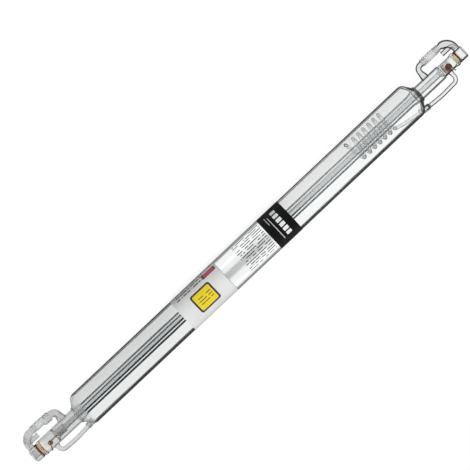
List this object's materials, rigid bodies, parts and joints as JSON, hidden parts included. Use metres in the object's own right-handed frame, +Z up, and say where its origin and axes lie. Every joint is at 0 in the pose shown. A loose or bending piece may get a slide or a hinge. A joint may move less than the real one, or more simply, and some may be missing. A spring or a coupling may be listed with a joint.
{
  "type": "co2 laser tube",
  "caption": "Sealed glass CO2 laser tube with a water jacket, a gas return spiral, end mirrors, electrodes and water nozzles.",
  "frame": {"origin": "on the beam's axis at the middle of the tube's length", "axes": "+X along the tube from the output end to the rear end, +Z up from the surface that the tube lies on"},
  "size_m": [1, 0.0648, 0.0648],
  "materials": {
    "borosilicate_glass": "clear and polished",
    "silicone": "translucent",
    "zinc_selenide": "polished amber window",
    "gold_coating": "polished gold on silicon",
    "epoxy": "glossy glue line",
    "nickel": "rolled sheet",
    "tungsten": "oxidised wire",
    "seal_glass": "fused bead",
    "white_vinyl": "satin print",
    "silver_foil": "satin foil",
    "black_vinyl": "gloss print"
  },
  "bodies": {
    "root": {"reservoir_tube": "borosilicate_glass", "water_jacket": "borosilicate_glass", "discharge_tube": "borosilicate_glass", "gas_return_spiral": "borosilicate_glass", "output_head": "borosilicate_glass", "rear_head": "borosilicate_glass", "output_cap": "borosilicate_glass", "rear_cap": "borosilicate_glass", "output_neck_elbow": "borosilicate_glass", "rear_neck_elbow": "borosilicate_glass", "output_cap_elbow": "borosilicate_glass", "rear_cap_elbow": "borosilicate_glass", "output_nozzle": "borosilicate_glass", "rear_nozzle": "borosilicate_glass", "output_gas_arm": "borosilicate_glass", "rear_gas_arm": "borosilicate_glass", "output_hose": "silicone", "rear_hose": "silicone", "output_coupler": "zinc_selenide", "rear_mirror": "gold_coating", "output_mirror_bond": "epoxy", "rear_mirror_bond": "epoxy", "output_cap_bond": "epoxy", "rear_cap_bond": "epoxy", "beam_tube_bond": "epoxy", "cathode_cylinder": "nickel", "anode_cylinder": "nickel", "cathode_seal": "seal_glass", "anode_seal": "seal_glass", "cathode_lead": "tungsten", "anode_lead": "tungsten", "white_label": "white_vinyl", "silver_label": "silver_foil", "black_label": "black_vinyl"}
  },
  "joints": []
}
